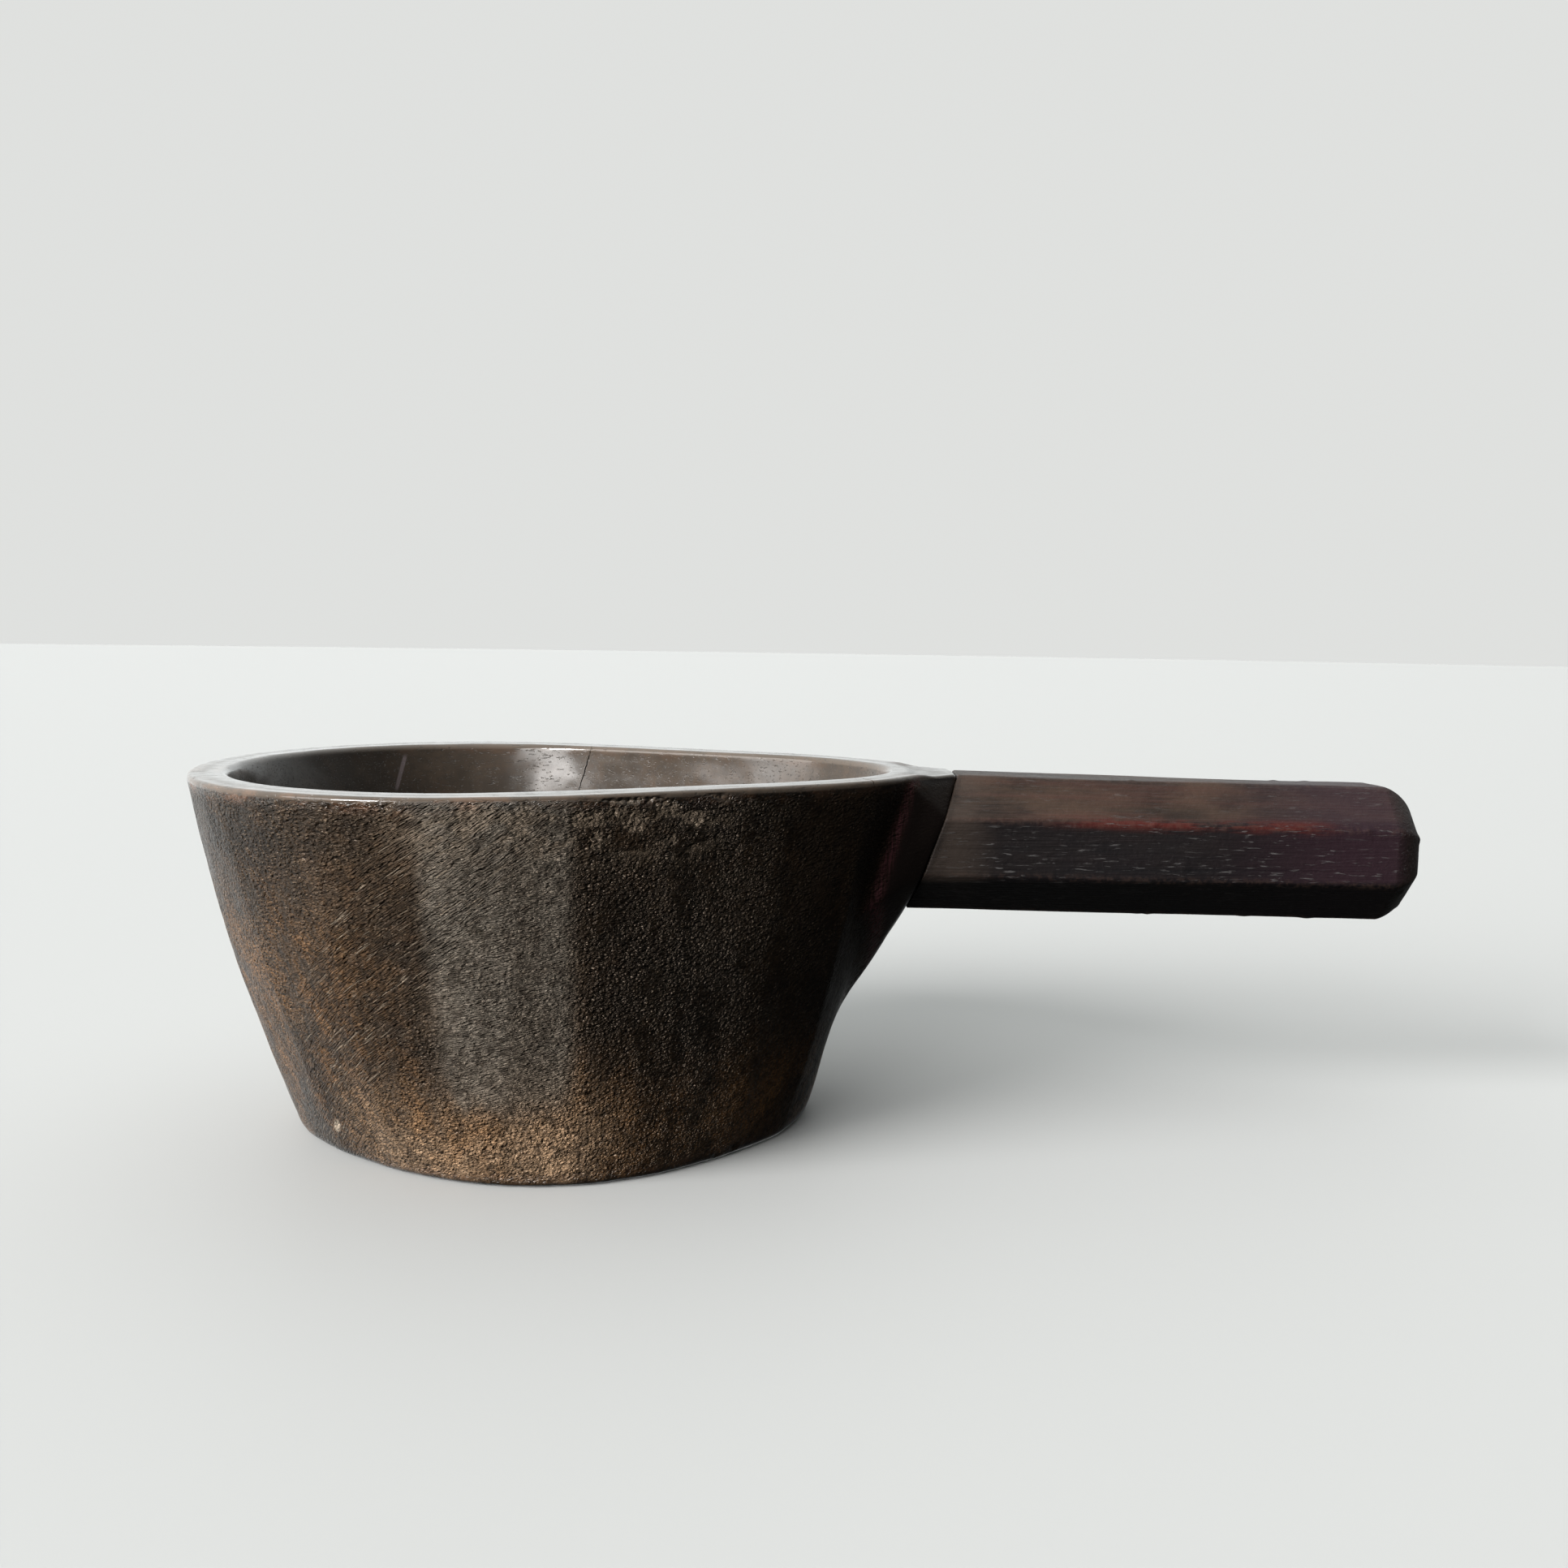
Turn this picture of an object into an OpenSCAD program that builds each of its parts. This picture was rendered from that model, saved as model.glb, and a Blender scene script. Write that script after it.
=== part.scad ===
// Wooden feed scoop: a carved bowl with an egg-shaped mouth and a lug left on its wall,
// and an eight-sided handle whose tenon goes right through the lug.
// Millimetres, +Z up. The origin is on the table, under the centre of the base,
// and +X points towards the handle.

/* [Bowl] */
// Height of the rim above the table
bowl_h = 107; // [90:1:120]
// Mean outside radius of the rim
rim_r = 101.5; // [96:0.5:106]
// Mean radius of the base
base_r = 76; // [70:0.5:80]
// How far the wall swells outwards half way up
belly = 3.2; // [0:0.2:5]
// Mean thickness of the wall at the rim
wall_t = 12.5; // [10:0.5:14]
// How much thicker the two sides of the rim are than its ends
side_extra = 1.7; // [0:0.1:3]
// Thickness of the floor
floor_t = 14; // [10:1:20]

/* [Plan of the rim] */
// Shift of the outline away from the handle
rim_shift = 8.2; // [4:0.2:10]
// Lengthening of the outline along the handle
rim_stretch = 7.4; // [2:0.2:9]
// Pull of the outline into an egg's point at the handle
rim_point = 8.7; // [4:0.1:9]

/* [Lug] */
// Half width of the lug where it grows out of the wall
lug_half_w = 30; // [26:1:34]
// Height of the lug's foot above the table
lug_foot_z = 42; // [36:1:48]
// Lean of the shoulder face from vertical, degrees
shoulder_lean = 20; // [14:1:24]
// How far the shoulder is cut out of square, seen from above, degrees
shoulder_skew = 5; // [0:1:8]

/* [Handle] */
// Width of the eight-sided handle across its flats
handle_af = 42; // [36:0.5:44]
// Length of the handle from its shoulder to its end, along its axis
handle_l = 153; // [110:1:180]
// Droop of the handle below level, degrees
handle_droop = 1.2; // [0:0.1:3]
// Length of the bevel around the handle's end
end_bevel = 10; // [5:0.5:14]

/* [Joint] */
// Height of the tenon
tenon_h = 24; // [18:1:26]
// Width of the tenon
tenon_w = 18; // [14:1:22]
// Length of the wedge in the tenon's end
wedge_l = 14; // [8:1:16]
// Thickness of the wedge at its head
wedge_t = 4; // [2:0.5:5]
// Diameter of the peg that pins the tenon
peg_d = 7; // [5:0.5:9]

/* [Hidden] */

slab = 0.2;                          // thickness of the outline slices that a hull joins
outline_points = 90;
outer_levels = [0, 0.2, 0.4, 0.6, 0.8, 1];
cavity_levels = [0, 0.06, 0.16, 0.32, 0.55, 0.78, 1];
rim_plan = [rim_r, -rim_shift, rim_stretch, rim_point, 0.9];
mouth_plan = rim_plan - [wall_t, 0, -side_extra, 0, 0];
base_plan = [base_r, -2.7, 0.6, 0.2, 2];
floor_plan = base_plan - [15, 0, 0, 0, 0];
floor_rounding = 13;                 // how far the cavity's foot draws in
mouth_over = 10;                     // how far the cavity's tool runs out above the rim

lug_drop = 1;                        // the lug's top sinks this far below the rim
pad_top_x = 99;                      // the lug's root, inside the wall at the rim
pad_foot_x = 90;                     // and at the lug's foot
pad_waist_z = 70;                    // below this height the root narrows
pad_foot_half_w = 12;
pad_t = 1;
octagon_r = handle_af / 2 / cos(22.5);
axis_z = bowl_h - lug_drop - handle_af / 2 - 0.2;
shoulder_x = rim_plan[0] + rim_plan[1] + rim_plan[2] + rim_plan[3] + 4;
peg_x = shoulder_x - 10;
peg_top_z = axis_z + tenon_h / 2 + 4;
handle_back = 20;                    // the handle's bar runs back this far, to be cut to its shoulder
tenon_back = 60;                     // the tenon's block runs back this far, into the cavity
tenon_root = 10;                     // and this far into the handle
wedge_head = 28;                     // from the shoulder to the wedge's head before it is trimmed
wedge_trim = 7;                      // how much of the head the cavity trims away
wedge_tip_t = 1;
reach = 300;                         // larger than anything it cuts

// Radius of a plan outline at an angle from the handle, as a sum of cosines.
function plan_radius(plan, angle) =
    plan[0] + plan[1] * cos(angle) + plan[2] * cos(2 * angle)
    + plan[3] * cos(3 * angle) + plan[4] * cos(4 * angle);

// Swell that is nothing at both ends of the wall and whole at its middle.
function swell(t) = 4 * t * (1 - t);

// Quarter round that draws the lowest part of the cavity in to meet the floor.
function foot_draw(t) = t < 0.3 ? 1 - sqrt(1 - pow(1 - t / 0.3, 2)) : 0;

module outline(plan) {
    step = 360 / outline_points;
    polygon([for (i = [0 : outline_points - 1])
        plan_radius(plan, i * step) * [cos(i * step), sin(i * step)]]);
}

module slice(plan, z) {
    translate([0, 0, z])
        linear_extrude(slab)
            outline(plan);
}

// The bowl's outside, solid, before the lug.
module bowl_outside() {
    hull() {
        for (t = outer_levels) {
            slice(base_plan + (rim_plan - base_plan) * t + [belly * swell(t), 0, 0, 0, 0],
                t * (bowl_h - slab));
        }
    }
}

// The space inside the bowl. Its sides run on above the rim.
module cavity() {
    deep = bowl_h - floor_t;
    over = (mouth_plan - floor_plan) * mouth_over / deep;
    hull() {
        for (t = cavity_levels) {
            slice(floor_plan + (mouth_plan - floor_plan) * t
                + [belly * swell(t) - floor_rounding * foot_draw(t), 0, 0, 0, 0],
                floor_t + t * deep);
        }
        slice(mouth_plan + over, bowl_h + mouth_over);
    }
}

// Places its children on the handle's axis, at the shoulder, with +X along the handle.
module on_handle_axis() {
    translate([shoulder_x, 0, axis_z])
        rotate([0, handle_droop, 0])
            children();
}

// An eight-sided bar along +X with flats on top, below and at the sides.
module octagon_bar(length, r) {
    rotate([0, 90, 0])
        rotate([0, 0, 22.5])
            cylinder(h = length, r = r, $fn = 8);
}

// A block of a given length on the handle's side of the leaning shoulder face.
module beyond_shoulder(length = reach) {
    translate([shoulder_x, 0, axis_z])
        rotate([0, shoulder_lean, -shoulder_skew])
            translate([0, -reach / 2, -reach / 2])
                cube([length, reach, reach]);
}

// The lug's root: a thin upright plate inside the wall, narrow at its foot.
module lug_root() {
    lean = atan2(pad_top_x - pad_foot_x, bowl_h - lug_foot_z);
    top = (bowl_h - lug_foot_z) / cos(lean);
    waist = pad_waist_z - lug_foot_z;
    translate([pad_foot_x, 0, lug_foot_z])
        rotate([0, lean, 0])
            rotate([90, 0, 90])
                linear_extrude(pad_t)
                    polygon([
                        [-pad_foot_half_w, 0], [pad_foot_half_w, 0],
                        [lug_half_w, waist], [lug_half_w, top],
                        [-lug_half_w, top], [-lug_half_w, waist]
                    ]);
}

// The handle's eight-sided outline where the leaning shoulder face cuts it.
module shoulder_outline() {
    intersection() {
        on_handle_axis()
            translate([-handle_af, 0, 0])
                octagon_bar(2 * handle_af, octagon_r);
        translate([-slab, 0, 0])
            beyond_shoulder(slab * cos(shoulder_lean));
    }
}

// The lug swells from its root to the handle's own eight sides at the shoulder.
module lug() {
    hull() {
        lug_root();
        shoulder_outline();
    }
}

// The square bar that the tenon is, and that its mortise takes out of the bowl.
module tenon_bar() {
    on_handle_axis()
        translate([-tenon_back, -tenon_w / 2, -tenon_h / 2])
            cube([tenon_back + tenon_root, tenon_w, tenon_h]);
}

module tenon() {
    difference() {
        tenon_bar();
        cavity();
    }
}

// The wedge fills a saw kerf across the tenon's end. It is trimmed flush with the bowl.
module wedge() {
    tip = wedge_head - wedge_trim - wedge_l;
    difference() {
        on_handle_axis()
            rotate([90, 0, 0])
                translate([0, 0, -tenon_w / 2])
                    linear_extrude(tenon_w)
                        polygon([
                            [-wedge_head, -wedge_t / 2], [-tip, -wedge_tip_t / 2],
                            [-tip, wedge_tip_t / 2], [-wedge_head, wedge_t / 2]
                        ]);
        cavity();
    }
}

module peg_hole() {
    translate([peg_x, 0, 0])
        cylinder(h = peg_top_z, d = peg_d, $fn = 48);
}

module bowl() {
    color("#43382c")
        difference() {
            union() {
                bowl_outside();
                lug();
            }
            cavity();
            tenon_bar();
            peg_hole();
        }
}

// The eight-sided bar with its end bevelled, before its shoulder is cut.
module handle_bar() {
    on_handle_axis()
        hull() {
            translate([-handle_back, 0, 0])
                octagon_bar(handle_back + handle_l - end_bevel, octagon_r);
            octagon_bar(handle_l, octagon_r - end_bevel);
        }
}

module handle() {
    color("#3f2a24")
        difference() {
            union() {
                intersection() {
                    handle_bar();
                    beyond_shoulder();
                }
                tenon();
            }
            wedge();
            peg_hole();
        }
}

module tenon_wedge() {
    color("#8a6238")
        wedge();
}

// The peg is driven up from below and trimmed flush with the lug's underside.
module tenon_peg() {
    color("#7a5430")
        intersection() {
            peg_hole();
            lug();
        }
}

bowl();
handle();
tenon_wedge();
tenon_peg();
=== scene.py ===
"""Wooden feed scoop: a carved bowl with a lug, an eight-sided handle whose tenon goes
through the lug, and the wedge and peg that hold it. Lengths are in millimetres until a
mesh is made; the origin is under the centre of the base and +X points to the handle."""
import math
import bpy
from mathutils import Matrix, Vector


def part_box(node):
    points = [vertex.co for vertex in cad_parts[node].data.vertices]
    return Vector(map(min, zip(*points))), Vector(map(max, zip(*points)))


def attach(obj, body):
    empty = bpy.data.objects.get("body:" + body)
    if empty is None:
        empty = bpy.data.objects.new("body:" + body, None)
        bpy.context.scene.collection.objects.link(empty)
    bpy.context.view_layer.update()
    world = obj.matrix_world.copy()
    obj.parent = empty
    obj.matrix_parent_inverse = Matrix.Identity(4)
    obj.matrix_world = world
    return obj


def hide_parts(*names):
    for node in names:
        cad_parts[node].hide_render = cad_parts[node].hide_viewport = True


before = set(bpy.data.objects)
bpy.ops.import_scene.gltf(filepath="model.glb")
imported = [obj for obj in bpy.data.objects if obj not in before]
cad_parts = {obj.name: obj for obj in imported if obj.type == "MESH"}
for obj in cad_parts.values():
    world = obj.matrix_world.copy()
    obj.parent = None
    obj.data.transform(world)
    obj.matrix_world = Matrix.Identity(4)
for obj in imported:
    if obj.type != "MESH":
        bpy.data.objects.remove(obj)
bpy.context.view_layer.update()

from types import SimpleNamespace

import bmesh
import bpy
import numpy as np
from mathutils import Matrix, Vector
from mathutils.geometry import convex_hull_2d

MM = 0.001

# The bowl. Plans are polar: mean radius, then the amounts of cos 1a, 2a, 3a and 4a.
BOWL_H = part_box("bowl")[1].z / MM
RIM_PLAN = np.array([101.5, -8.2, 7.4, 8.7, 0.9])
BASE_PLAN = np.array([76, -2.7, 0.6, 0.2, 2.0])
MOUTH_PLAN = RIM_PLAN - np.array([12.5, 0, -1.7, 0, 0])
FLOOR_PLAN = BASE_PLAN - np.array([15, 0, 0, 0, 0])
BELLY = 3.2
FLOOR_T = 14
FLOOR_ROUNDING = 13
FLOOR_ROUNDING_SHARE = 0.3
RIM_OUTER_EDGE = 1.3
RIM_INNER_EDGE = 1.6
BASE_EDGE = 2.2
BASE_HOLLOW = 0.8
FLAT_EDGES = [-157, -140, -122, -103, -81, -66, -45, -27, 27, 48, 71, 95, 112, 136, 158, 180, 203]
FLAT_DEPTH = 0.42
MEAN_WALL_RADIUS = 95
INNERMOST_RING = 0.04

# Dents: how many, the middle and half of their spread round the bowl, their lowest and
# highest z, and the least and greatest of their size and depth.
BELOW_FRONT_RIM = math.radians(-88)
DENT_GROUPS = (
    (46, 0, math.pi, 8, 100, (1.5, 4.5), (0.10, 0.35)),
    (22, 0, math.pi, 104, 106, (1.2, 3.0), (0.08, 0.3)),
    (20, 0, math.pi, 1, 4, (1.5, 4.0), (0.25, 0.7)),
    (26, BELOW_FRONT_RIM, 0.22, 93, 104, (1.0, 2.4), (0.12, 0.35)),
)

# Cracks: the path along the surface, the way in, and the width.
CRACKS = (
    ([(81, -33, 107), (87.5, -38, 107), (90.5, -46, 107), (91, -55, 106.5)],
     (0.3, 0.6, -2.6), 0.5),
    ([(3.0, 80.4, 107.5), (1.6, 80.6, 102), (-1.2, 80, 93), (-3.2, 79, 84)],
     (0, 2.2, 0), 0.45),
)

# The lug, the shoulder and the handle's axis.
HANDLE_AF = 42
LUG_HALF_W = 30
LUG_FOOT_Z = 42
LUG_ROOT_TOP_X = 99
LUG_ROOT_FOOT_X = 90
LUG_ROOT_WAIST_X = 94
LUG_WAIST_Z = 70
LUG_FOOT_HALF_W = 12
LUG_DROP = 1
LUG_FILLET = 2.6
LUG_MEAN_RADIUS = 100
SHOULDER_STAND_OUT = 4
SHOULDER_LEAN = math.radians(20)
SHOULDER_SKEW = math.radians(5)
DROOP = math.radians(1.2)
SHOULDER_X = RIM_PLAN[:4].sum() + SHOULDER_STAND_OUT
HANDLE_SINK = 0.2
AXIS_Z = BOWL_H - LUG_DROP - HANDLE_AF / 2 - HANDLE_SINK
HANDLE_END_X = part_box("handle")[1].x / MM
END_CROWN = 0.2
HANDLE_L = (HANDLE_END_X - SHOULDER_X) / math.cos(DROOP) - END_CROWN
END_BEVEL = 10
SHOULDER_EDGE = 0.5

# The joint hidden in the lug.
TENON_H = 24
TENON_W = 18
TENON_ROOT = 12
TENON_THROUGH = 18
WEDGE_L = 14
WEDGE_T = 4
WEDGE_TIP_T = 1
PEG_D = 7
PEG_X = SHOULDER_X - 10
PEG_TOP_Z = AXIS_Z + TENON_H / 2 + 4
PEG_BORE_FOOT_Z = 30
SEAM = 0.12


# ---- shapes in numbers


def smoothstep(low, high, value):
    t = np.clip((value - low) / (high - low), 0, 1)
    return t * t * (3 - 2 * t)


def smooth_max(a, b, width):
    """The larger of two values, with a round fillet where they are closer than width."""
    h = np.clip(0.5 + 0.5 * (a - b) / width, 0, 1)
    return b + (a - b) * h + width * h * (1 - h)


def soft_noise(points, size, seed):
    """A smooth random field from -1 to 1 at an array of points. size may be per axis."""
    table = np.random.default_rng(seed).uniform(-1, 1, 4096)
    cell = points / np.asarray(size, float) + 1000.37
    low = np.floor(cell).astype(np.int64)
    t = cell - low
    t = t * t * t * (t * (6 * t - 15) + 10)
    total = np.zeros(len(points))
    for corner in np.ndindex(2, 2, 2):
        i, j, k = (low + corner).T
        value = table[(i * 73856093 ^ j * 19349663 ^ k * 83492791) % 4096]
        total += value * np.prod(np.where(corner, t, 1 - t), axis=1)
    return total


def convex_plan(plan):
    """Angles all round, and a plan's radius at each, with its hollows bridged straight."""
    turns = np.linspace(-math.pi, math.pi, 1441)
    radii = sum(amount * np.cos(k * turns) for k, amount in enumerate(plan))
    points = np.stack([radii * np.cos(turns), radii * np.sin(turns)], axis=1)
    corners = np.array(sorted(convex_hull_2d(points[:-1].tolist())))
    for start, end in zip(corners, np.roll(corners, -1)):
        between = np.arange(start + 1, end)
        run = points[end] - points[start]
        across = points[start, 0] * run[1] - points[start, 1] * run[0]
        facing = np.cos(turns[between]) * run[1] - np.sin(turns[between]) * run[0]
        radii[between] = across / facing
    return turns, radii


PLANS = {tuple(plan): convex_plan(plan) for plan in (BASE_PLAN, RIM_PLAN, FLOOR_PLAN, MOUTH_PLAN)}


def plan_radius(plan, angle):
    turns, radii = PLANS[tuple(plan)]
    wrapped = (np.asarray(angle) + math.pi) % (2 * math.pi) - math.pi
    return np.interp(wrapped, turns, radii)


def hewn_flats(angle):
    """How far the knife's broad upright flats lie inside the round wall, in millimetres."""
    edges = np.radians(FLAT_EDGES)
    turn = (angle - edges[0]) % (2 * math.pi) + edges[0]
    place = np.clip(np.searchsorted(edges, turn, side="right") - 1, 0, len(edges) - 2)
    half = (edges[place + 1] - edges[place]) / 2
    middle = edges[place] + half
    return MEAN_WALL_RADIUS * FLAT_DEPTH * (1 - np.cos(half) / np.cos(turn - middle))


def wall_radius(angle, z):
    """Outer radius of the bowl's wall, without the lug."""
    t = z / BOWL_H
    base, rim = plan_radius(BASE_PLAN, angle), plan_radius(RIM_PLAN, angle)
    return base + (rim - base) * t + BELLY * 4 * t * (1 - t)


def cavity_radius(angle, z):
    """Radius of the bowl's inside above the rounding at its foot."""
    t = (z - FLOOR_T) / (BOWL_H - FLOOR_T)
    floor, mouth = plan_radius(FLOOR_PLAN, angle), plan_radius(MOUTH_PLAN, angle)
    return floor + (mouth - floor) * t + BELLY * 4 * t * (1 - t)


def along_handle(points):
    """Turns points measured from the shoulder along the drooping handle into the frame."""
    turn = Matrix.Rotation(DROOP, 3, "Y")
    return np.asarray(points, float) @ np.array(turn).T + [SHOULDER_X, 0, AXIS_Z]


def shoulder_normal():
    turn = Matrix.Rotation(-SHOULDER_SKEW, 3, "Z")
    lean = Matrix.Rotation(SHOULDER_LEAN, 3, "Y")
    return np.array((turn.to_4x4() @ lean.to_4x4()).to_3x3() @ Vector((1, 0, 0)))


def octagon_corners(across_flats):
    """The eight corners of the handle's section, as (y, z)."""
    reach = across_flats / 2 / math.cos(math.pi / 8)
    turns = (np.arange(8) + 0.5) * math.pi / 4
    return np.stack([reach * np.cos(turns), reach * np.sin(turns)], axis=1)


def shoulder_distance(y, z):
    """How far along the handle's own axis the leaning shoulder face lies at (y, z)."""
    turn = np.array(Matrix.Rotation(DROOP, 3, "Y"))
    nx, ny, nz = shoulder_normal() @ turn
    return -(ny * y + nz * z) / nx


def lug_planes():
    """Outward normals and offsets of the lug's convex body, apart from its level faces."""
    level = 0.98
    yz = octagon_corners(HANDLE_AF)
    rim_end = along_handle(np.column_stack([shoulder_distance(*yz.T), yz]))
    root = [
        (LUG_ROOT_FOOT_X, LUG_FOOT_HALF_W, LUG_FOOT_Z),
        (LUG_ROOT_WAIST_X, LUG_HALF_W, LUG_WAIST_Z),
        (LUG_ROOT_TOP_X, LUG_HALF_W, BOWL_H),
    ]
    bm = bmesh.new()
    for x, y, z in [*rim_end, *root, *((x, -y, z) for x, y, z in root)]:
        bm.verts.new((x, y, z))
    bmesh.ops.convex_hull(bm, input=bm.verts)
    planes = {tuple(np.round([*f.normal, f.normal.dot(f.verts[0].co)], 4)) for f in bm.faces}
    bm.free()
    return [p for p in sorted(planes) if abs(p[2]) < level]


LUG_PLANES = lug_planes()


def lug_radius(angle, z, rounding=0.3):
    """Radius at which a level ray from the axis leaves the lug's body, edges softened.

    The limits keep exp and log finite."""
    grazing, largest_exponent, smallest_total = 0.02, 600, 1e-30
    total = np.zeros(np.broadcast(angle, z).shape)
    for nx, ny, nz, offset in LUG_PLANES:
        facing = nx * np.cos(angle) + ny * np.sin(angle)
        reach = (offset - nz * z) / np.maximum(facing, grazing)
        nearness = np.minimum(-(reach - LUG_MEAN_RADIUS) / rounding, largest_exponent)
        total = total + np.where(facing > grazing, np.exp(nearness), 0)
    return LUG_MEAN_RADIUS - rounding * np.log(np.maximum(total, smallest_total))


def lug_zone(angle):
    """1 on the handle's side of the bowl, where the lug can be, and 0 elsewhere."""
    return 1 - smoothstep(math.radians(24), math.radians(34), np.abs(angle))


def outer_radius(angle, z):
    shown = smoothstep(0, 25, BOWL_H - z) * (0.3 + 0.7 * smoothstep(0, 30, z))
    wall = wall_radius(angle, z) - hewn_flats(angle) * shown
    lug = np.where(lug_zone(angle) > 0, lug_radius(angle, z), 0)
    return np.where(lug_zone(angle) > 0, smooth_max(lug, wall, LUG_FILLET), wall)


# ---- meshes


def make_object(name, points, faces):
    """A mesh object in the frame, from points in millimetres."""
    mesh = bpy.data.meshes.new(name)
    mesh.from_pydata((np.asarray(points) * MM).tolist(), [], faces)
    mesh.update()
    piece = bpy.data.objects.new(name, mesh)
    bpy.context.scene.collection.objects.link(piece)
    return piece


def skin_of_rings(rings, first, last):
    """Points and faces of a closed skin of rings, with one point at each end."""
    rows, columns = len(rings), len(rings[0])
    points = np.concatenate([[first], np.concatenate(rings), [last]])
    here = np.arange(columns)
    ahead = (here + 1) % columns
    faces = [(0, 1 + b, 1 + a) for a, b in zip(here, ahead)]
    for row in range(rows - 1):
        low, high = 1 + row * columns, 1 + (row + 1) * columns
        faces += np.stack([low + here, low + ahead, high + ahead, high + here], 1).tolist()
    top = 1 + (rows - 1) * columns
    faces += [(top + a, top + b, len(points) - 1) for a, b in zip(here, ahead)]
    return points, faces


def read_vectors(piece, kind):
    flat = np.empty(len(piece.data.vertices) * 3, np.float32)
    piece.data.vertices.foreach_get(kind, flat)
    return flat.reshape(-1, 3).astype(float)


def read_points(piece):
    return read_vectors(piece, "co") / MM


def move_to(piece, points):
    """Moves the points of a piece to new places, in millimetres."""
    piece.data.vertices.foreach_set("co", (points * MM).astype(np.float32).ravel())
    piece.data.update()


def push(piece, amount):
    """Moves every point of a piece along its normal by an amount in millimetres."""
    move_to(piece, read_points(piece) + read_vectors(piece, "normal") * amount[:, None])


def cut(piece, tool, operation="DIFFERENCE"):
    """Applies a Boolean with a closed tool, which is then thrown away."""
    modifier = piece.modifiers.new("cut", "BOOLEAN")
    modifier.operation = operation
    modifier.object = tool
    modifier.solver = "EXACT"
    graph = bpy.context.evaluated_depsgraph_get()
    mesh = bpy.data.meshes.new_from_object(piece.evaluated_get(graph))
    piece.modifiers.clear()
    old = piece.data
    piece.data = mesh
    bpy.data.meshes.remove(old)
    bpy.data.objects.remove(tool)


def grid_box(name, shape, cuts):
    """A closed box with a grid on every side, placed by shape(u, v, w) for u, v, w in 0..1."""
    bm = bmesh.new()
    bmesh.ops.create_cube(bm, size=1, matrix=Matrix.Translation((0.5, 0.5, 0.5)))
    bmesh.ops.subdivide_edges(bm, edges=bm.edges, cuts=cuts, use_grid_fill=True)
    unit = np.array([v.co for v in bm.verts])
    faces = [[v.index for v in f.verts] for f in bm.faces]
    bm.free()
    return make_object(name, shape(*unit.T), faces)


def store(piece, name, values):
    """Keeps one number per point for the materials to read."""
    layer = piece.data.attributes.new(name, "FLOAT", "POINT")
    layer.data.foreach_set("value", np.asarray(values, np.float32))


def smooth_shading(piece, crease=35):
    piece.data.shade_smooth()
    bm = bmesh.new()
    bm.from_mesh(piece.data)
    limit = math.radians(crease)
    for edge in bm.edges:
        if len(edge.link_faces) == 2 and edge.calc_face_angle() > limit:
            edge.smooth = False
    bm.to_mesh(piece.data)
    bm.free()


# ---- bowl


def column_angles():
    """Angles of the bowl's columns, closest together around the lug."""
    half = np.radians(26)
    lug = np.linspace(-half, half, 190, endpoint=False)
    rest = np.linspace(half, 2 * math.pi - half, 440, endpoint=False)
    return np.concatenate([lug, rest])


def quarter_turn(steps):
    """Angles of a quarter circle after its start."""
    return np.linspace(0, math.pi / 2, steps)[1:]


def base_rings(angle):
    """The slightly hollow base and the rounding of its edge."""
    level = np.ones_like(angle)
    foot = outer_radius(angle, 0.0)
    rings = []
    for s in np.linspace(INNERMOST_RING, 1, 12):
        rings.append(((foot - BASE_EDGE) * s, BASE_HOLLOW * (1 - s**3) * level))
    for turn in quarter_turn(8):
        z = BASE_EDGE * (1 - math.cos(turn))
        r = outer_radius(angle, z) - BASE_EDGE * (1 - math.sin(turn))
        rings.append((r, z * level))
    return rings


def wall_rings(angle, top):
    """The outside of the wall and the lug, up to the rim's outer edge."""
    tall = top - RIM_OUTER_EDGE - BASE_EDGE
    heights = [BASE_EDGE + tall * s for s in np.linspace(0, 1, 106)[1:]]
    return [(outer_radius(angle, z), z) for z in heights]


def rim_rings(angle, rim, top):
    """The rim's rounded outer edge, its top and its rounded inner edge."""
    edge = outer_radius(angle, top - RIM_OUTER_EDGE)
    rings = []
    for turn in quarter_turn(8):
        z = top - RIM_OUTER_EDGE * (1 - math.sin(turn))
        rings.append((edge - RIM_OUTER_EDGE * (1 - math.cos(turn)), z))
    start = edge - RIM_OUTER_EDGE
    end = cavity_radius(angle, BOWL_H) + RIM_INNER_EDGE
    for s in np.linspace(0, 1, 18)[1:]:
        r = start + (end - start) * s
        rings.append((r, BOWL_H + (top - BOWL_H) * smoothstep(rim - 5, rim - 1, r)))
    for turn in quarter_turn(8):
        z = BOWL_H - RIM_INNER_EDGE * (1 - math.cos(turn))
        r = cavity_radius(angle, z) + RIM_INNER_EDGE * (1 - math.sin(turn))
        rings.append((r, z * np.ones_like(angle)))
    return rings


def cavity_rings(angle):
    """The inside of the wall, the rounding at its foot, and the floor."""
    level = np.ones_like(angle)
    foot_z = FLOOR_T + FLOOR_ROUNDING_SHARE * (BOWL_H - FLOOR_T)
    rings = []
    for z in np.linspace(BOWL_H - RIM_INNER_EDGE, foot_z, 64)[1:]:
        rings.append((cavity_radius(angle, z), z * level))
    for turn in quarter_turn(22):
        z = FLOOR_T + (foot_z - FLOOR_T) * (1 - math.sin(turn))
        r = cavity_radius(angle, z) - FLOOR_ROUNDING * (1 - math.cos(turn))
        rings.append((r, z * level))
    last = rings[-1][0]
    for s in np.linspace(1, INNERMOST_RING, 24)[1:]:
        rings.append((last * s, FLOOR_T * level))
    return rings


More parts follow.
